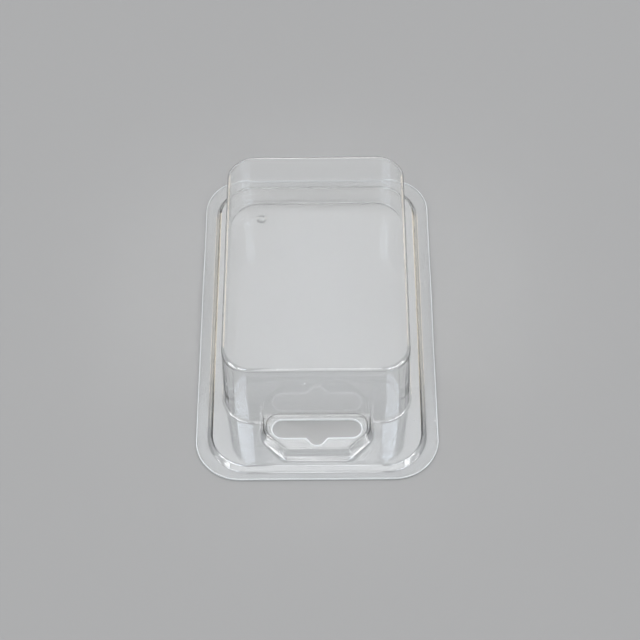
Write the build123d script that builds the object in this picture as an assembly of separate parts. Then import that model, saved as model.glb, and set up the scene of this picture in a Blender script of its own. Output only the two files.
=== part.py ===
from build123d import *
from OCP.BRepFilletAPI import BRepFilletAPI_MakeFillet
from OCP.gp import gp_Pnt2d
from OCP.TColgp import TColgp_Array1OfPnt2d
import math
import os

# Clear clamshell pack, heat-formed from one thin sheet and lying closed on its back half.
# The frame: +X to the right, +Y from the hanger end to the creased end, +Z up from the back rim's underside.
# Lengths are in millimetres and angles in degrees.

# The sheet, and the air left between the two nested halves
sheet = 0.4
nest_gap = 0.1

# The product box on the front half, measured where it meets the raised panel
box_width = 67.2
box_length = 96.65
box_height = 33.0
box_draft = 1.55
box_corner_radius = 10.4
box_top_inner_radius = 0.9
box_top_corner_inner_radius = 1.5

# The hang slot through both halves, with its notch towards the hanger end
slot_width = 32.0
slot_height = 7.7
notch_width = 7.8
notch_depth = 2.9
notch_floor_width = 3.0
notch_floor_radius = 2.2

# The hanger boss around the slot, measured across its top, with its land beside, behind and before the slot
boss_side_land = 2.9
boss_rear_land = 1.65
boss_nose_land = 1.55
boss_shoulder_run = 7.5
boss_shoulder_depth = 6.9
boss_shoulder_radius = 5.0
boss_nose_radius = 1.5
boss_height = 4.6
boss_draft = 14.0
boss_top_inner_radius = 0.4

# The boss on the back half, which stands inside the front one and reaches a little way into the box
back_boss_clearance = 0.5
back_boss_reach = 1.5
back_boss_rear_radius = 5.0
back_boss_top_inner_radius = 0.2

# The inside corners where the box and the bosses meet the raised panel and each other,
# with wider rounds along the front boss's nose and the box's far wall
foot_radius = 0.9
nose_foot_radius = 2.3
far_foot_radius = 4.4

# The raised panel: its land beside and behind the box, and from the boss's nose to the panel's near edge
panel_side_land = 4.05
panel_far_land = 10.9
panel_near_land = 4.1
panel_corner_radius = 13.6

# The low step from the raised panel down to the rim
step_height = 2.2
step_run = 1.5
step_top_inner_radius = 0.3
step_foot_radius = 0.4

# The rim, from the raised panel's edge to the cut edge of the sheet
rim_side_margin = 5.55
rim_near_margin = 4.0
rim_far_margin = 5.55
rim_corner_radius = 16.0

# The crease along the straight of the far rim, where the sheet folds from one half into the other
crease_end_inset = 0.2
crease_parting = 0.02

# The round mould mark raised on the box's face, placed from the face's left and far edges
mark_diameter = 3.9
mark_line = 1.1
mark_height = 0.15
mark_from_left = 13.1
mark_from_far = 29.1

# Sizes that follow from those above
boss_width = slot_width + 2 * boss_side_land
boss_nose_width = boss_width - 2 * boss_shoulder_run
boss_depth = boss_rear_land + slot_height + notch_depth + boss_nose_land
panel_width = box_width + 2 * panel_side_land
panel_length = panel_near_land + boss_depth + box_length + panel_far_land
pack_width = panel_width + 2 * rim_side_margin
pack_length = rim_near_margin + panel_length + rim_far_margin
crease_length = pack_width - 2 * (rim_corner_radius + crease_end_inset)
crease_radius = sheet + nest_gap / 2
step_draft = math.degrees(math.atan2(step_run, step_height))
box_lean = box_height * math.tan(math.radians(box_draft))
boss_lean = boss_height * math.tan(math.radians(boss_draft))

# Lines along the pack, from its middle
near_edge = -pack_length / 2
far_edge = pack_length / 2
panel_near = near_edge + rim_near_margin
panel_far = far_edge - rim_far_margin
boss_nose = panel_near + panel_near_land
box_near = boss_nose + boss_depth
box_far = box_near + box_length
slot_middle = box_near - boss_rear_land - slot_height / 2

# Levels of the front half's outer face, and of the hinge line in the fold
front_rim_top = 2 * sheet + nest_gap
front_panel_top = front_rim_top + step_height
box_top = front_panel_top + box_height
boss_top = front_panel_top + boss_height
crease_level = sheet + nest_gap / 2

# Each face of the sheet is a layer, known by its depth under the front half's outer face
front_outside = 0
front_inside = sheet
back_outside = sheet + nest_gap
back_inside = 2 * sheet + nest_gap

# How near a face, an edge or a corner counts as lying at a level or on a line
near_enough = 1e-4


def side_shift(draft, depth):
    """How far a drafted wall stands in from the outer face, on a layer that also lies lower by its depth."""
    lean = math.radians(draft)
    return depth * (1 - math.sin(lean)) / math.cos(lean)


def panel(width, near, far, radius):
    """A rounded rectangle, centred across the pack."""
    return Pos(0, (near + far) / 2) * RectangleRounded(width, far - near, radius)


def edges_at(solid, level):
    """The edges of a solid that lie flat at one level."""
    return solid.edges().filter_by_position(Axis.Z, level - near_enough, level + near_enough)


def rim(level):
    """One half's flat rim, cut back along the crease, where the fold takes over."""
    plate = extrude(Pos(0, 0, level) * panel(pack_width, near_edge, far_edge, rim_corner_radius), sheet)
    cut_back = Pos(0, far_edge, level) * Box(crease_length, 2 * crease_radius, 2 * sheet)
    return plate - cut_back


def fold(side):
    """One half's quarter of the fold: side is 1 above the parting line and -1 below it."""
    middle = Pos(0, far_edge - crease_radius, crease_level)
    along = Rot(0, 90, 0)
    tube = middle * along * (Cylinder(crease_radius, crease_length) - Cylinder(nest_gap / 2, crease_length))
    quarter = Box(crease_length, crease_radius, crease_radius, align=(Align.CENTER, Align.MIN, Align.MIN))
    quarter = middle * Pos(0, 0, crease_parting) * quarter
    if side < 0:
        quarter = mirror(quarter, Plane.XY.offset(crease_level))
    return tube & quarter


def corners_at(outline, y):
    """The corners of a flat outline that lie on one line across the pack."""
    return outline.vertices().filter_by_position(Axis.Y, y - near_enough, y + near_enough)


def flat_face(solid, level):
    """The largest flat face of a solid at one level."""
    flats = solid.faces().filter_by(Plane.XY)
    flats = flats.filter_by_position(Axis.Z, level - near_enough, level + near_enough)
    return flats.sort_by(SortBy.AREA)[-1]


def inner_edges(solid, level):
    """The edges of what stands on, or opens through, the middle of a flat face."""
    return [edge for wire in flat_face(solid, level).inner_wires() for edge in wire.edges()]


def step_form(depth):
    """The drafted block from the rim's level up to the raised panel's, on one layer."""
    inset = side_shift(step_draft, depth) - step_run
    foot = panel(
        panel_width - 2 * inset, panel_near + inset, panel_far - inset, panel_corner_radius - inset
    )
    block = extrude(Pos(0, 0, front_rim_top - depth) * foot, step_height, taper=step_draft)
    top_radius = step_top_inner_radius + back_inside - depth
    return fillet(edges_at(block, front_panel_top - depth), top_radius)


def round_top(block, level, radius, corner_radius):
    """Rounds the edge around a flat top, growing to a wider round half way around each corner."""
    edges = edges_at(block, level)
    rounding = BRepFilletAPI_MakeFillet(block.solid().wrapped)
    for edge in edges:
        rounding.Add(radius, edge.wrapped)
    growth = TColgp_Array1OfPnt2d(1, 3)
    growth.SetValue(1, gp_Pnt2d(0, radius))
    growth.SetValue(2, gp_Pnt2d(0.5, corner_radius))
    growth.SetValue(3, gp_Pnt2d(1, radius))
    for edge in edges:
        if edge.geom_type != GeomType.LINE:
            contour = rounding.Contour(edge.wrapped)
            places = range(1, rounding.NbEdges(contour) + 1)
            place = next(i for i in places if rounding.Edge(contour, i).IsSame(edge.wrapped))
            rounding.SetRadius(growth, contour, place)
    return Solid(rounding.Shape())


def box_form(depth):
    """The drafted product box above the raised panel, on one layer."""
    inset = side_shift(box_draft, depth)
    foot = panel(box_width - 2 * inset, box_near + inset, box_far - inset, box_corner_radius - inset)
    block = extrude(Pos(0, 0, front_panel_top - depth) * foot, box_height, taper=box_draft)
    wider = front_inside - depth
    top_radius = box_top_inner_radius + wider
    return round_top(block, box_top - depth, top_radius, box_top_corner_inner_radius + wider)


def boss_outline(rear, inset):
    """A boss's top: square at the rear, with cut-off shoulders and a straight nose."""
    half = boss_width / 2
    nose_half = boss_nose_width / 2
    shoulder = boss_nose + boss_shoulder_depth
    right = [(nose_half, boss_nose), (half, shoulder), (half, rear)]
    left = [(-x, y) for x, y in reversed(right)]
    outline = make_face(Polyline(*right, *left, close=True))
    outline = fillet(corners_at(outline, shoulder), boss_shoulder_radius)
    outline = fillet(corners_at(outline, boss_nose), boss_nose_radius)
    return offset(outline, -inset, kind=Kind.INTERSECTION) if inset else outline


def boss_block(outline, depth, top_radius):
    """A drafted boss on one layer, from the outline of its top."""
    foot = offset(outline, boss_lean, kind=Kind.INTERSECTION)
    block = extrude(Pos(0, 0, front_panel_top - depth) * foot, boss_height, taper=boss_draft)
    return fillet(edges_at(block, boss_top - depth), top_radius)


def round_foot(form, depth):
    """Rounds the inside corner around the box and the boss, growing wider at the nose and the far wall."""
    edges = inner_edges(form, front_panel_top - depth)
    far_wall = max(edge.bounding_box().max.Y for edge in edges)
    rounding = BRepFilletAPI_MakeFillet(form.solid().wrapped)
    for edge in edges:
        rounding.Add(foot_radius + depth, edge.wrapped)
    for edge in edges:
        contour = rounding.Contour(edge.wrapped)
        for corner in edge.vertices():
            radius = foot_radius
            if corner.Y < boss_nose:
                radius = nose_foot_radius
            elif corner.Y > far_wall - near_enough:
                radius = far_foot_radius
            rounding.SetRadius(radius + depth, contour, corner.wrapped)
    return Solid(rounding.Shape())


def front_form(depth):
    """The front half's form on one layer: the step, the box and the boss, with rounded inside corners."""
    level = front_panel_top - depth
    outline = boss_outline(box_near + box_corner_radius, side_shift(boss_draft, depth))
    boss = boss_block(outline, depth, boss_top_inner_radius + front_inside - depth)
    raised = box_form(depth) + boss
    rising = raised.edges().filter_by_position(Axis.Z, level, boss_top, inclusive=(False, False))
    joins = rising.filter_by_position(Axis.Y, box_near, box_near + box_lean)
    form = step_form(depth) + fillet(joins, foot_radius + depth)
    return round_foot(form, depth)


def back_form(depth):
    """The back half's form on one layer: the step and a boss with rounded rear corners."""
    level = front_panel_top - depth
    inset = side_shift(boss_draft, depth) + back_boss_clearance
    under = depth - back_outside
    rear = box_near + back_boss_reach - side_shift(boss_draft, under)
    rear_radius = back_boss_rear_radius - side_shift(boss_draft, under)
    rear_bounds = panel(boss_width - 2 * inset, boss_nose - boss_depth, rear, rear_radius)
    outline = (boss_outline(box_far, inset) & rear_bounds).face()
    boss = boss_block(outline, depth, back_boss_top_inner_radius + back_inside - depth)
    form = step_form(depth) + boss
    return fillet(inner_edges(form, level), foot_radius + under)


def formed_half(form, outside, side):
    """One half of the sheet: its rim and quarter of the fold, with the form raised from it and hollowed."""
    inside = outside + sheet
    rim_top = front_rim_top - outside
    shell = rim(rim_top - sheet) + form(outside)
    shell = fillet(inner_edges(shell, rim_top), step_foot_radius + outside)
    shell -= form(inside)
    shell = fillet(inner_edges(shell, rim_top - sheet), step_foot_radius + inside)
    return shell + fold(side)


def slot_cutter():
    """The hang slot with its notch, tall enough to pass through both halves."""
    lip = slot_middle - slot_height / 2
    floor = lip - notch_depth
    right = [(notch_floor_width / 2, floor), (notch_width / 2, lip)]
    left = [(-x, y) for x, y in reversed(right)]
    notch = make_face(Polyline(*right, (0, slot_middle), *left, close=True))
    notch = fillet(corners_at(notch, floor), notch_floor_radius)
    slot = Pos(0, slot_middle) * SlotOverall(slot_width, slot_height)
    return extrude(slot + notch, boss_top + sheet)


def mould_mark():
    """The plain ring, gently rounded across, that the mould leaves on the box's face."""
    x = mark_from_left - box_width / 2 + box_lean
    y = box_far - box_lean - mark_from_far
    bulge = (mark_line**2 / 4 + mark_height**2) / (2 * mark_height)
    ring = Torus((mark_diameter - mark_line) / 2, bulge)
    above = Pos(0, 0, bulge - mark_height) * Cylinder(mark_diameter, sheet)
    return Pos(x, y, box_top + mark_height - bulge) * (ring & above)


slot = slot_cutter()
pieces = {
    "front_shell": formed_half(front_form, front_outside, 1) - slot + mould_mark(),
    "back_shell": formed_half(back_form, back_outside, -1) - slot,
}
os.makedirs("parts", exist_ok=True)
for name, solid in pieces.items():
    export_step(solid, f"parts/{name}.step")
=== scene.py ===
import bmesh
import bpy
import math
from mathutils import Matrix, Vector


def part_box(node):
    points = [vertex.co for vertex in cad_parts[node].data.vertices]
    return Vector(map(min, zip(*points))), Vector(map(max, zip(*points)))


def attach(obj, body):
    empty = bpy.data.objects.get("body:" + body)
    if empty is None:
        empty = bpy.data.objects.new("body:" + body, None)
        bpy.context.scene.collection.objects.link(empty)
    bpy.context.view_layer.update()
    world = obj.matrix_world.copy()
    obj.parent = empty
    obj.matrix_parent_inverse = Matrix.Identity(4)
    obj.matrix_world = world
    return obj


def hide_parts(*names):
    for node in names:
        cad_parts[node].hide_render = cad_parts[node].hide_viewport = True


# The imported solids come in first, as the fixed frame that every piece below is set against.
# The pack is one clear sheet, formed and folded into a back half and a front half that nest.
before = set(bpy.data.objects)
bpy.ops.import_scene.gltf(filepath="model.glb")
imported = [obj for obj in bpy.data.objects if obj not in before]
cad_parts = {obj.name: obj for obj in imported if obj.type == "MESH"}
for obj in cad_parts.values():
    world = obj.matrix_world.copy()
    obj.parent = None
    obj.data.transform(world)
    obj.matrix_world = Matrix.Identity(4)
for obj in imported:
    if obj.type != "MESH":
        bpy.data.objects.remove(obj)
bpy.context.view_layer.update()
scene = bpy.context.scene
scene.view_settings.view_transform = "Standard"


# The back half: the side that the pack lies on, with a low step around it and the inner hanger boss.
# It is clear polyester sheet, warmed and drawn over a mould, which leaves slow ripples and a faint haze.
# A die cuts its edge together with the front half's, and the front half is folded onto it at the crease.
def new_material(name):
    material = bpy.data.materials.new(name)
    material.use_nodes = True
    material.node_tree.nodes.clear()
    return material


def group_of(name, inputs, outputs):
    group = bpy.data.node_groups.new(name, "ShaderNodeTree")
    for label, kind, value in inputs:
        socket = group.interface.new_socket(label, in_out="INPUT", socket_type=kind)
        socket.default_value = value
    for label, kind in outputs:
        group.interface.new_socket(label, in_out="OUTPUT", socket_type=kind)
    return group


def hair_scratches():
    """Fine scratches that cross in three directions, as a mask for the gloss."""
    group = group_of(
        "hair scratches",
        [("Lines per Metre", "NodeSocketFloat", 900.0), ("Wander", "NodeSocketFloat", 2.0),
         ("Thinness", "NodeSocketFloat", 0.02)],
        [("Mask", "NodeSocketFloat")],
    )
    nodes, links = group.nodes, group.links
    given = nodes.new("NodeGroupInput")
    result = nodes.new("NodeGroupOutput")
    place = nodes.new("ShaderNodeTexCoord")
    directions = (0.35, 1.30, 2.45)
    tilt_share = 0.2
    side_tilt = 0.1
    drawn_out = (1.0, 0.04, 1.0)
    noise_middle = 0.5
    total = None
    for turn in directions:
        turned = nodes.new("ShaderNodeMapping")
        turned.inputs["Rotation"].default_value = (tilt_share * turn, side_tilt, turn)
        turned.inputs["Scale"].default_value = drawn_out
        links.new(place.outputs["Object"], turned.inputs["Vector"])
        lines = nodes.new("ShaderNodeTexNoise")
        lines.inputs["Detail"].default_value = 1.0
        links.new(turned.outputs["Vector"], lines.inputs["Vector"])
        links.new(given.outputs["Lines per Metre"], lines.inputs["Scale"])
        links.new(given.outputs["Wander"], lines.inputs["Distortion"])
        off_middle = nodes.new("ShaderNodeMath")
        off_middle.operation = "SUBTRACT"
        off_middle.inputs[1].default_value = noise_middle
        links.new(lines.outputs["Fac"], off_middle.inputs[0])
        size = nodes.new("ShaderNodeMath")
        size.operation = "ABSOLUTE"
        links.new(off_middle.outputs["Value"], size.inputs[0])
        thin = nodes.new("ShaderNodeMath")
        thin.operation = "LESS_THAN"
        links.new(size.outputs["Value"], thin.inputs[0])
        links.new(given.outputs["Thinness"], thin.inputs[1])
        if total is None:
            total = thin
            continue
        joined = nodes.new("ShaderNodeMath")
        joined.operation = "MAXIMUM"
        links.new(total.outputs["Value"], joined.inputs[0])
        links.new(thin.outputs["Value"], joined.inputs[1])
        total = joined
    links.new(total.outputs["Value"], result.inputs["Mask"])
    return group


scratches = hair_scratches()
sheet_index = 1.57


def object_noise(material, scale, detail):
    """Noise that is fixed to the piece it is on."""
    nodes, links = material.node_tree.nodes, material.node_tree.links
    place = nodes.new("ShaderNodeTexCoord")
    noise = nodes.new("ShaderNodeTexNoise")
    noise.inputs["Scale"].default_value = scale
    noise.inputs["Detail"].default_value = detail
    links.new(place.outputs["Object"], noise.inputs["Vector"])
    return noise.outputs["Fac"]


def clear_sheet(name, scratch_gloss):
    """Clear sheet that lets lamps shine through it, less where they graze it."""
    material = new_material(name)
    nodes, links = material.node_tree.nodes, material.node_tree.links
    output = nodes.new("ShaderNodeOutputMaterial")
    plastic = nodes.new("ShaderNodeBsdfPrincipled")
    plastic.inputs["Base Color"].default_value = (0.965, 0.970, 0.972, 1.0)
    plastic.inputs["Transmission Weight"].default_value = 1.0
    plastic.inputs["IOR"].default_value = sheet_index
    marks = nodes.new("ShaderNodeGroup")
    marks.node_tree = scratches
    haze = object_noise(material, scale=45.0, detail=4.0)
    dull = nodes.new("ShaderNodeMapRange")
    dull.inputs["From Min"].default_value = 0.35
    dull.inputs["From Max"].default_value = 0.75
    dull.inputs["To Min"].default_value = 0.015
    dull.inputs["To Max"].default_value = 0.05
    links.new(haze, dull.inputs["Value"])
    gloss = nodes.new("ShaderNodeMath")
    gloss.operation = "MULTIPLY_ADD"
    gloss.inputs[1].default_value = scratch_gloss
    links.new(marks.outputs["Mask"], gloss.inputs[0])
    links.new(dull.outputs["Result"], gloss.inputs[2])
    links.new(gloss.outputs["Value"], plastic.inputs["Roughness"])
    peel = object_noise(material, scale=160.0, detail=2.0)
    bump = nodes.new("ShaderNodeBump")
    bump.inputs["Strength"].default_value = 0.10
    bump.inputs["Distance"].default_value = 0.00008
    links.new(peel, bump.inputs["Height"])
    links.new(bump.outputs["Normal"], plastic.inputs["Normal"])
    facing = nodes.new("ShaderNodeLayerWeight")
    facing.inputs["Blend"].default_value = 0.35
    shade = nodes.new("ShaderNodeMapRange")
    shade.inputs["To Min"].default_value = 0.97
    shade.inputs["To Max"].default_value = 0.45
    links.new(facing.outputs["Facing"], shade.inputs["Value"])
    through = nodes.new("ShaderNodeBsdfTransparent")
    links.new(shade.outputs["Result"], through.inputs["Color"])
    ray = nodes.new("ShaderNodeLightPath")
    mixed = nodes.new("ShaderNodeMixShader")
    links.new(ray.outputs["Is Shadow Ray"], mixed.inputs["Fac"])
    links.new(plastic.outputs["BSDF"], mixed.inputs[1])
    links.new(through.outputs["BSDF"], mixed.inputs[2])
    links.new(mixed.outputs["Shader"], output.inputs["Surface"])
    return material


def cut_edge_highlight(name, colour):
    """The die-cut edge of the sheet, painted pale and satin: partly its own frosted cut, partly painted
    highlight for the light it gathers.
    """
    material = new_material(name)
    nodes, links = material.node_tree.nodes, material.node_tree.links
    output = nodes.new("ShaderNodeOutputMaterial")
    plastic = nodes.new("ShaderNodeBsdfPrincipled")
    plastic.inputs["IOR"].default_value = sheet_index
    grain = object_noise(material, scale=900.0, detail=3.0)
    tone = nodes.new("ShaderNodeMix")
    tone.data_type = "RGBA"
    tone.inputs["A"].default_value = colour
    tone.inputs["B"].default_value = (0.93, 0.95, 0.96, 1.0)
    links.new(grain, tone.inputs["Factor"])
    links.new(tone.outputs["Result"], plastic.inputs["Base Color"])
    dull = nodes.new("ShaderNodeMapRange")
    dull.inputs["To Min"].default_value = 0.25
    dull.inputs["To Max"].default_value = 0.55
    links.new(grain, dull.inputs["Value"])
    links.new(dull.outputs["Result"], plastic.inputs["Roughness"])
    links.new(plastic.outputs["BSDF"], output.inputs["Surface"])
    return material


def formed_sheet_tree():
    """Turns a formed half into sheet: ripples, a wandering cut edge with a pale bead that is a painted
    highlight, and two finishes.
    """
    tree = bpy.data.node_groups.new("formed sheet", "GeometryNodeTree")
    tree.is_modifier = True

    def wants(label, kind, value=None):
        socket = tree.interface.new_socket(label, in_out="INPUT", socket_type=kind)
        if value is not None:
            socket.default_value = value

    wants("Form", "NodeSocketGeometry")
    wants("Ripple Height", "NodeSocketFloat", 0.00012)
    wants("Ripples per Metre", "NodeSocketFloat", 32.0)
    wants("Ripple Seed", "NodeSocketFloat", 2.7)
    wants("Step Half Width", "NodeSocketFloat", 0.0392)
    wants("Step Half Length", "NodeSocketFloat", 0.0650)
    wants("Rim Width", "NodeSocketFloat", 0.0038)
    wants("Edge Wander", "NodeSocketFloat", 0.0004)
    wants("Wanders per Metre", "NodeSocketFloat", 40.0)
    wants("Wander Seed", "NodeSocketFloat", 0.0)
    wants("Crease Line", "NodeSocketFloat", 0.0675)
    wants("Crease Half Length", "NodeSocketFloat", 0.0271)
    wants("Crease Hold", "NodeSocketFloat", 0.0006)
    wants("Crease Stiff Reach", "NodeSocketFloat", 0.012)
    wants("Crease Wander", "NodeSocketFloat", 0.0008)
    wants("Crease Wander Reach", "NodeSocketFloat", 0.0045)
    wants("Crease Wanders per Metre", "NodeSocketFloat", 95.0)
    wants("Fold Depth", "NodeSocketFloat", 0.00044)
    wants("Bead Radius", "NodeSocketFloat", 0.00019)
    wants("Bead Sink", "NodeSocketVector", (0.0, 0.0, -0.00020))
    wants("Bead Stop", "NodeSocketFloat", 0.0012)
    wants("Sharp Angle", "NodeSocketFloat", math.radians(40))
    wants("Has Grains", "NodeSocketBool", False)
    wants("Grain Radius", "NodeSocketFloat", 0.00026)
    wants("Wall Grain", "NodeSocketVector")
    wants("Panel Grain", "NodeSocketVector")
    wants("Rim Burr", "NodeSocketVector")
    wants("Sheet", "NodeSocketMaterial")
    wants("Cut Edge Highlight", "NodeSocketMaterial")
    tree.interface.new_socket("Sheet Half", in_out="OUTPUT", socket_type="NodeSocketGeometry")
    nodes, links = tree.nodes, tree.links
    given = nodes.new("NodeGroupInput")
    result = nodes.new("NodeGroupOutput")
    place = nodes.new("GeometryNodeInputPosition")
    noise_middle = 0.5
    yes_or_no = 0.5

    def maths(operation, a, b=None):
        node = nodes.new("ShaderNodeMath")
        node.operation = operation
        for socket, value in zip(node.inputs, (a, b)):
            if isinstance(value, (int, float)):
                socket.default_value = value
            elif value is not None:
                links.new(value, socket)
        return node.outputs[0]

    def noise(scale, seed):
        node = nodes.new("ShaderNodeTexNoise")
        node.noise_dimensions = "4D"
        node.inputs["Detail"].default_value = 1.0
        links.new(place.outputs["Position"], node.inputs["Vector"])
        links.new(scale, node.inputs["Scale"])
        links.new(seed, node.inputs["W"])
        parts = nodes.new("ShaderNodeSeparateXYZ")
        links.new(node.outputs["Color"], parts.inputs["Vector"])
        return parts

    def ramp(value, start, end):
        node = nodes.new("ShaderNodeMapRange")
        node.interpolation_type = "SMOOTHSTEP"
        links.new(value, node.inputs["Value"])
        if start is not None:
            links.new(start, node.inputs["From Min"])
        links.new(end, node.inputs["From Max"])
        return node.outputs["Result"]

    def spread(parts, size):
        offsets = [maths("SUBTRACT", parts.outputs[axis], noise_middle) for axis in ("X", "Y")]
        return [maths("MULTIPLY", offset, size) for offset in offsets]

    at = nodes.new("ShaderNodeSeparateXYZ")
    links.new(place.outputs["Position"], at.inputs["Vector"])
    # The crease holds the sheet straight, and the ripples grow away from it
    from_crease = maths("SUBTRACT", given.outputs["Crease Line"], at.outputs["Y"])
    free = ramp(from_crease, given.outputs["Crease Hold"], given.outputs["Crease Stiff Reach"])
    ripple = noise(given.outputs["Ripples per Metre"], given.outputs["Ripple Seed"])
    swell = maths("MULTIPLY", given.outputs["Ripple Height"], free)
    lift = maths("MULTIPLY", ripple.outputs["Z"], swell)
    sway = spread(ripple, swell)
    # The die wanders a little, so the cut edge does too, and less and less towards the step
    off_centre = maths("ABSOLUTE", at.outputs["X"])
    beside = maths("SUBTRACT", off_centre, given.outputs["Step Half Width"])
    beyond = maths("SUBTRACT", maths("ABSOLUTE", at.outputs["Y"]), given.outputs["Step Half Length"])
    outwards = maths("MAXIMUM", beside, beyond)
    on_rim = ramp(outwards, None, given.outputs["Rim Width"])
    wander = noise(given.outputs["Wanders per Metre"], given.outputs["Wander Seed"])
    loose = maths("MULTIPLY", on_rim, free)
    slip = spread(wander, maths("MULTIPLY", loose, given.outputs["Edge Wander"]))
    # The fold draws in unevenly along the crease, alike on both halves
    at_crease = ramp(from_crease, given.outputs["Crease Wander Reach"], given.outputs["Crease Hold"])
    along = nodes.new("ShaderNodeTexNoise")
    along.noise_dimensions = "1D"
    along.inputs["Detail"].default_value = 3.0
    links.new(given.outputs["Crease Wanders per Metre"], along.inputs["Scale"])
    links.new(at.outputs["X"], along.inputs["W"])
    pull = maths("MULTIPLY", at_crease, given.outputs["Crease Wander"])
    draw_in = maths("MULTIPLY", along.outputs["Fac"], pull)
    offset = nodes.new("ShaderNodeCombineXYZ")
    links.new(maths("ADD", sway[0], slip[0]), offset.inputs["X"])
    links.new(maths("SUBTRACT", maths("ADD", sway[1], slip[1]), draw_in), offset.inputs["Y"])
    links.new(lift, offset.inputs["Z"])
    # The straight cut edges and the fold are told from the sheet's faces before it is rippled
    normal = nodes.new("GeometryNodeInputNormal")
    facing = nodes.new("ShaderNodeSeparateXYZ")
    links.new(normal.outputs["Normal"], facing.inputs["Vector"])
    upright_slope = 0.01
    cuts_below = 0.02
    upright = maths("LESS_THAN", maths("ABSOLUTE", facing.outputs["Z"]), upright_slope)
    low = maths("LESS_THAN", at.outputs["Z"], cuts_below)
    by_crease = maths("LESS_THAN", off_centre, given.outputs["Crease Half Length"])
    in_fold = maths("MULTIPLY", maths("LESS_THAN", from_crease, given.outputs["Fold Depth"]), by_crease)
    is_cut = maths("MAXIMUM", maths("MULTIPLY", upright, low), in_fold)
    # Faces told as cut or fold get the pale finish: partly the cut's frost and the fold's whitening, partly
    # painted highlight.
    told = nodes.new("GeometryNodeCaptureAttribute")
    told.domain = "FACE"
    told.capture_items.new("BOOLEAN", "Is Sheet")
    links.new(given.outputs["Form"], told.inputs["Geometry"])
    links.new(maths("LESS_THAN", is_cut, yes_or_no), told.inputs["Is Sheet"])
    moved = nodes.new("GeometryNodeSetPosition")
    links.new(told.outputs["Geometry"], moved.inputs["Geometry"])
    links.new(offset.outputs["Vector"], moved.inputs["Offset"])
    smooth = nodes.new("GeometryNodeSetShadeSmooth")
    smooth.domain = "FACE"
    links.new(moved.outputs["Geometry"], smooth.inputs["Geometry"])
    angle = nodes.new("GeometryNodeInputMeshEdgeAngle")
    sharp = maths("GREATER_THAN", angle.outputs["Unsigned Angle"], given.outputs["Sharp Angle"])
    crisp = nodes.new("GeometryNodeSetShadeSmooth")
    crisp.domain = "EDGE"
    crisp.inputs["Shade Smooth"].default_value = False
    links.new(smooth.outputs["Geometry"], crisp.inputs["Geometry"])
    links.new(sharp, crisp.inputs["Selection"])
    # A pale bead along each cut edge's upper corner, sunk just inside the sheet, is a painted highlight line
    # for the light the edge gathers
    upward_slope = 0.3
    upper = maths("GREATER_THAN", facing.outputs["Z"], upward_slope)
    near_fold = maths("MULTIPLY", maths("LESS_THAN", from_crease, given.outputs["Bead Stop"]), by_crease)
    upper_cut = maths("MULTIPLY", maths("MULTIPLY", sharp, upper), low)
    has_bead = maths("MULTIPLY", upper_cut, maths("LESS_THAN", near_fold, yes_or_no))
    edge_path = nodes.new("GeometryNodeMeshToCurve")
    links.new(moved.outputs["Geometry"], edge_path.inputs["Mesh"])
    links.new(has_bead, edge_path.inputs["Selection"])
    sunk = nodes.new("GeometryNodeSetPosition")
    links.new(edge_path.outputs["Curve"], sunk.inputs["Geometry"])
    links.new(given.outputs["Bead Sink"], sunk.inputs["Offset"])
    round_bar = nodes.new("GeometryNodeCurvePrimitiveCircle")
    round_bar.inputs["Resolution"].default_value = 8
    links.new(given.outputs["Bead Radius"], round_bar.inputs["Radius"])
    bead = nodes.new("GeometryNodeCurveToMesh")
    bead.inputs["Fill Caps"].default_value = True
    links.new(sunk.outputs["Geometry"], bead.inputs["Curve"])
    links.new(round_bar.outputs["Curve"], bead.inputs["Profile Curve"])
    # Two grains of white dust cling to the sheet, and a burr is left on the rim
    grain = nodes.new("GeometryNodeMeshIcoSphere")
    grain.inputs["Subdivisions"].default_value = 2
    links.new(given.outputs["Grain Radius"], grain.inputs["Radius"])
    grains = nodes.new("GeometryNodeJoinGeometry")
    for label in ("Wall Grain", "Panel Grain", "Rim Burr"):
        stuck = nodes.new("GeometryNodeTransform")
        links.new(grain.outputs["Mesh"], stuck.inputs["Geometry"])
        links.new(given.outputs[label], stuck.inputs["Translation"])
        links.new(stuck.outputs["Geometry"], grains.inputs["Geometry"])
    dust = nodes.new("GeometryNodeSwitch")
    dust.input_type = "GEOMETRY"
    links.new(given.outputs["Has Grains"], dust.inputs["Switch"])
    links.new(grains.outputs["Geometry"], dust.inputs["True"])
    pale = nodes.new("GeometryNodeJoinGeometry")
    links.new(bead.outputs["Mesh"], pale.inputs["Geometry"])
    links.new(dust.outputs["Output"], pale.inputs["Geometry"])
    bead_tagged = nodes.new("GeometryNodeCaptureAttribute")
    bead_tagged.domain = "FACE"
    bead_tagged.capture_items.new("BOOLEAN", "Is Bead")
    bead_tagged.inputs["Is Bead"].default_value = True
    links.new(pale.outputs["Geometry"], bead_tagged.inputs["Geometry"])
    together = nodes.new("GeometryNodeJoinGeometry")
    links.new(bead_tagged.outputs["Geometry"], together.inputs["Geometry"])
    links.new(crisp.outputs["Geometry"], together.inputs["Geometry"])
    plain = nodes.new("GeometryNodeRealizeInstances")
    links.new(together.outputs["Geometry"], plain.inputs["Geometry"])
    # All that isn't drawn sheet is painted pale: painted highlight on beads, cut faces and fold, the dust's
    # own white on the grains.
    paint_cut_highlight = nodes.new("GeometryNodeSetMaterial")
    links.new(plain.outputs["Geometry"], paint_cut_highlight.inputs["Geometry"])
    links.new(given.outputs["Cut Edge Highlight"], paint_cut_highlight.inputs["Material"])
    paint_sheet = nodes.new("GeometryNodeSetMaterial")
    links.new(paint_cut_highlight.outputs["Geometry"], paint_sheet.inputs["Geometry"])
    is_drawn = maths("GREATER_THAN", told.outputs["Is Sheet"], bead_tagged.outputs["Is Bead"])
    links.new(is_drawn, paint_sheet.inputs["Selection"])
    links.new(given.outputs["Sheet"], paint_sheet.inputs["Material"])
    links.new(paint_sheet.outputs["Geometry"], result.inputs["Sheet Half"])
    return tree


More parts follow.
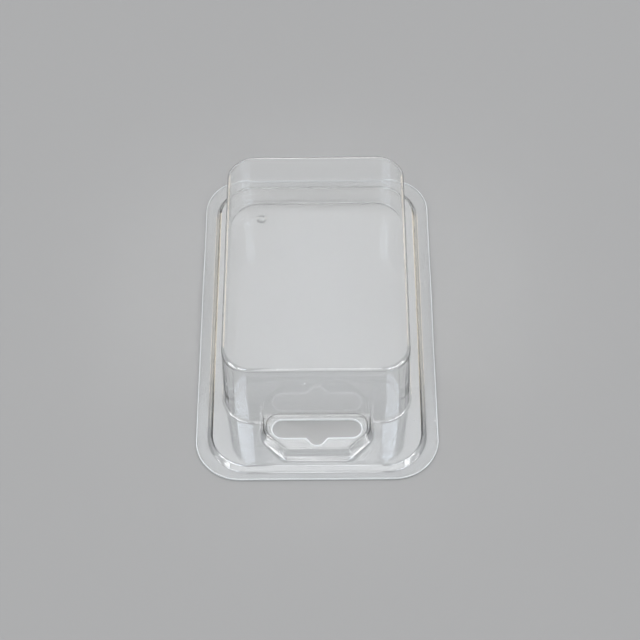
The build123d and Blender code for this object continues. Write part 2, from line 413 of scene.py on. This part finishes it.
def set_input(modifier, label, value):
    for socket in modifier.node_group.interface.items_tree:
        if socket.item_type == "SOCKET" and socket.in_out == "INPUT" and socket.name == label:
            modifier[socket.identifier] = value


def formed_half(name, node, tree, inputs, spacing=0.004):
    """A half's own mesh: a merged copy of its solid, cut across at even stations so that it ripples."""
    same_place = 1e-7
    most_corners = 4
    form = bmesh.new()
    form.from_mesh(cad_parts[node].data)
    bmesh.ops.remove_doubles(form, verts=form.verts, dist=same_place)
    low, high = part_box(node)
    for axis, across in enumerate((Vector((1.0, 0.0, 0.0)), Vector((0.0, 1.0, 0.0)))):
        count = int((high[axis] - low[axis]) / spacing)
        for step in range(1, count):
            station = low[axis] + (high[axis] - low[axis]) * step / count
            everything = form.verts[:] + form.edges[:] + form.faces[:]
            on_line = across * station
            bmesh.ops.bisect_plane(form, geom=everything, dist=same_place, plane_co=on_line, plane_no=across)
    many_sided = [face for face in form.faces if len(face.verts) > most_corners]
    bmesh.ops.triangulate(form, faces=many_sided)
    mesh = bpy.data.meshes.new(name)
    form.to_mesh(mesh)
    form.free()
    draft = bpy.data.objects.new(name, mesh)
    scene.collection.objects.link(draft)
    sheet = draft.modifiers.new("formed sheet", "NODES")
    sheet.node_group = tree
    for label, value in inputs.items():
        set_input(sheet, label, value)
    even = draft.modifiers.new("even normals", "WEIGHTED_NORMAL")
    even.keep_sharp = True
    even.weight = 100
    ready = draft.evaluated_get(bpy.context.evaluated_depsgraph_get())
    finished = bpy.data.meshes.new_from_object(ready)
    draft.modifiers.clear()
    draft.data = finished
    bpy.data.meshes.remove(mesh)
    finished.name = name
    return draft


sheet_tree = formed_sheet_tree()
back_finish = clear_sheet("clear sheet back", scratch_gloss=0.03)
# The pale cut edge colour is partly the cut's own satin frost and partly painted highlight.
back_cut_highlight = cut_edge_highlight("cut edge highlight back", colour=(0.70, 0.75, 0.79, 1.0))
back_half = formed_half(
    "back_half", "back_shell", sheet_tree,
    {"Sheet": back_finish, "Cut Edge Highlight": back_cut_highlight, "Wander Seed": 4.3},
)
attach(back_half, "back")
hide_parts("back_shell")

# The front half: the deep product box, the outer hanger boss, the step and the rim, in one piece.
# It is the same clear sheet, drawn deeper, so handling has marked it more, and dust clings to it.
# It swings on the crease along the far rim and nests over the back half.
front_finish = clear_sheet("clear sheet front", scratch_gloss=0.04)
# The pale cut edge colour is partly the cut's own satin frost and partly painted highlight.
front_cut_highlight = cut_edge_highlight("cut edge highlight front", colour=(0.78, 0.82, 0.85, 1.0))
wall_grain = (-0.0040, -0.0450, 0.0280)
panel_grain = (0.0349, -0.0454, 0.0032)
rim_burr = (0.0425, -0.0443, 0.0009)
front_half = formed_half(
    "front_half", "front_shell", sheet_tree,
    {"Sheet": front_finish, "Cut Edge Highlight": front_cut_highlight, "Wander Seed": 9.1, "Has Grains": True,
     "Wall Grain": wall_grain, "Panel Grain": panel_grain, "Rim Burr": rim_burr},
)
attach(front_half, "front")
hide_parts("front_shell")

# The floor: a plain pale studio board, painted matt, which the pack lies on.
# It is wide enough to fill every view, and it isn't part of the pack.
board = bpy.data.meshes.new("floor")
reach = 4.0
corners = [(-reach, -reach, 0), (reach, -reach, 0), (reach, reach, 0), (-reach, reach, 0)]
board.from_pydata(corners, [], [(0, 1, 2, 3)])
floor = bpy.data.objects.new("floor", board)
scene.collection.objects.link(floor)
floor_paint = new_material("pale board")
nodes, links = floor_paint.node_tree.nodes, floor_paint.node_tree.links
output = nodes.new("ShaderNodeOutputMaterial")
matt = nodes.new("ShaderNodeBsdfPrincipled")
matt.inputs["Base Color"].default_value = (0.43, 0.432, 0.436, 1.0)
matt.inputs["Roughness"].default_value = 0.9
matt.inputs["Specular IOR Level"].default_value = 0.0
links.new(matt.outputs["BSDF"], output.inputs["Surface"])
board.materials.append(floor_paint)


# The lamps: a wide, even ceiling of light over the floor, at the level at which colours look as they are.
# Soft boxes around the pack show only as reflections: a sheen beyond the creased end, tall ones beside it,
# narrow strips from overhead to the hanger end that draw the edges, and low ones for the step.
def soft_box(name, azimuth, elevation, distance, width, height, radiance, lean=0.0, colour=(1.0, 1.0, 1.0)):
    """A rectangular lamp that faces the pack, at an angle around it and an angle above the floor."""
    lamp = bpy.data.lights.new(name, "AREA")
    lamp.shape = "RECTANGLE"
    lamp.size = width
    lamp.size_y = height
    lamp.energy = radiance * math.pi * width * height
    lamp.color = colour
    turned = math.radians(azimuth)
    raised = math.radians(elevation)
    level = math.cos(raised)
    towards = Vector((math.sin(turned) * level, -math.cos(turned) * level, math.sin(raised)))
    box = bpy.data.objects.new(name, lamp)
    box.location = towards * distance
    leaning = Matrix.Rotation(math.radians(lean), 3, "Z")
    box.rotation_euler = (towards.to_track_quat("Z", "Y").to_matrix() @ leaning).to_euler()
    box.visible_camera = False
    box.visible_diffuse = False
    scene.collection.objects.link(box)
    return box


def soft_pair(name, azimuth, lean=0.0, **shape):
    """A soft box on each side of the pack, mirrored. The name has a place for the side."""
    for side, way in (("left", -1), ("right", 1)):
        soft_box(name.format(side), way * azimuth, lean=-way * lean, **shape)


ceiling = soft_box("ceiling", azimuth=0, elevation=90, distance=2.2, width=5.0, height=5.0, radiance=1.36)
ceiling.visible_diffuse = True
ceiling.visible_glossy = False
ceiling.visible_transmission = False
warm = (1.0, 0.90, 0.74)
cool = (0.84, 0.91, 1.0)
soft_box("far soft box", azimuth=180, elevation=58, distance=1.4, width=1.0, height=0.6, radiance=1.25)
soft_box("far low box", azimuth=180, elevation=18, distance=1.2, width=2.2, height=0.50, radiance=1.6)
soft_pair("{} key", azimuth=47, elevation=33, distance=1.1, width=0.75, height=0.24, radiance=9.0, lean=25.0)
soft_pair("{} tall strip", azimuth=71, elevation=23, distance=1.1, width=0.16, height=0.60, radiance=7.5)
soft_pair(
    "{} streak box", azimuth=42, elevation=58, distance=1.1, width=0.54, height=0.26, radiance=5.5,
    colour=cool)
soft_box("overhead strip", azimuth=0, elevation=72, distance=1.1, width=0.12, height=0.50, radiance=3.8)
soft_box("near strip", azimuth=0, elevation=38, distance=1.1, width=0.14, height=0.50, radiance=2.2)
soft_box("near low box", azimuth=0, elevation=11, distance=1.2, width=2.0, height=0.36, radiance=1.7)
soft_pair("near {} low box", azimuth=62, elevation=7, distance=1.2, width=0.80, height=0.26, radiance=3.8)
soft_pair(
    "far {} strip", azimuth=137, elevation=37, distance=1.2, width=0.26, height=0.62, radiance=3.4,
    lean=28.0, colour=warm)
soft_pair(
    "far {} low strip", azimuth=126, elevation=12, distance=1.2, width=0.24, height=0.46, radiance=1.3,
    colour=warm)
studio = bpy.data.worlds.new("studio")
studio.use_nodes = True
studio.node_tree.nodes["Background"].inputs["Color"].default_value = (0.97, 0.98, 1.0, 1.0)
studio.node_tree.nodes["Background"].inputs["Strength"].default_value = 0.14
scene.world = studio

# The camera: above the hanger end, looking along the pack from about the height that a hand would hold it.
# Its angles were found by laying the pack's own outlines over the photograph.
camera_height_angle = math.radians(56.0)
camera_turn = math.radians(-0.798)
camera_roll = math.radians(1.122)
camera_distance = 0.611969
camera_aim = Vector((0.001159, -0.000205, 0.0009))
photo_pixels = 640
focal_pixels = 1632.179
lens = bpy.data.cameras.new("camera")
lens.sensor_width = 36.0
lens.lens = focal_pixels * lens.sensor_width / photo_pixels
lens.clip_start = 0.01
turn = Matrix.Rotation(-camera_turn, 3, "Z")
level_right = Vector((1.0, 0.0, 0.0))
level_up = Vector((0.0, math.sin(camera_height_angle), math.cos(camera_height_angle)))
backwards = Vector((0.0, -math.cos(camera_height_angle), math.sin(camera_height_angle)))
right = level_right * math.cos(camera_roll) - level_up * math.sin(camera_roll)
up = level_right * math.sin(camera_roll) + level_up * math.cos(camera_roll)
facing = Matrix((turn @ right, turn @ up, turn @ backwards)).transposed()
camera = bpy.data.objects.new("camera", lens)
camera_place = turn @ (backwards * camera_distance + camera_aim)
camera.matrix_world = Matrix.Translation(camera_place) @ facing.to_4x4()
scene.collection.objects.link(camera)
scene.camera = camera
